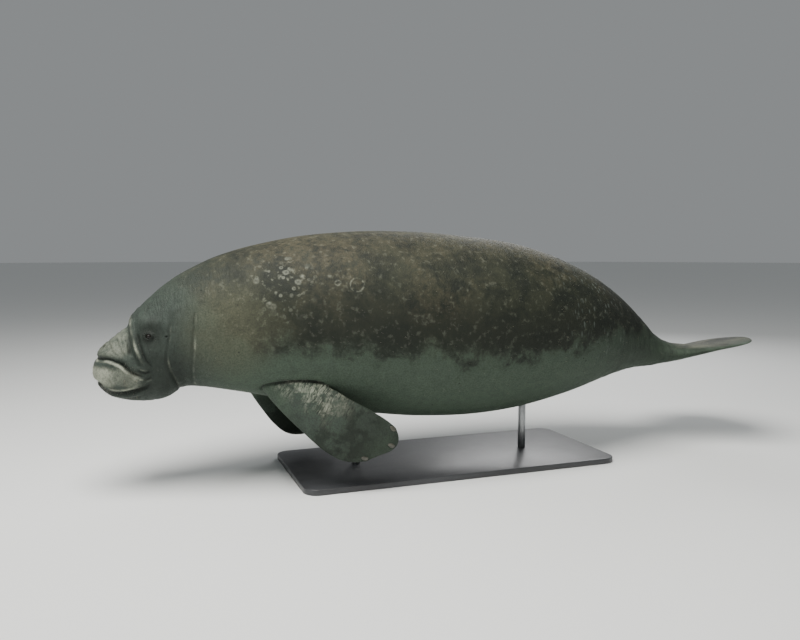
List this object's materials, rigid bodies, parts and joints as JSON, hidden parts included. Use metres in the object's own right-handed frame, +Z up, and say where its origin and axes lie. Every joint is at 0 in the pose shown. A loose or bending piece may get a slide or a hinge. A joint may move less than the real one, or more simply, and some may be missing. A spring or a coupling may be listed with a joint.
{
  "type": "manatee",
  "caption": "Life-size still model of an adult manatee swimming, with swept-back paddle flippers and a round tail paddle, on a plain flat base with two rods.",
  "frame": {"origin": "on the floor under the middle of the whole model, at the underside of the stand's base", "axes": "+Z up, -X towards the snout and +X towards the tail, -Y to the animal's left side"},
  "size_m": [2.9998, 0.7528, 1.0137],
  "materials": {
    "skin": "thick wrinkled hide, olive-brown on the back and grey-green below, mottled, slightly moist",
    "eye": "dark glossy eye",
    "nail": "horny nail, pale brown, smooth",
    "stand_board": "dark grey satin lacquer",
    "stand_steel": "brushed"
  },
  "bodies": {
    "root": {"head": "skin", "neck": "skin", "torso": "skin", "tail_stock": "skin", "tail_paddle": "skin", "flipper_left": "skin", "flipper_right": "skin", "eye_left": "eye", "eye_right": "eye", "flipper_left_nail_1": "nail", "flipper_left_nail_2": "nail", "flipper_left_nail_3": "nail", "flipper_right_nail_1": "nail", "flipper_right_nail_2": "nail", "flipper_right_nail_3": "nail", "stand_base": "stand_board", "stand_rod_front": "stand_steel", "stand_rod_rear": "stand_steel"}
  },
  "joints": []
}
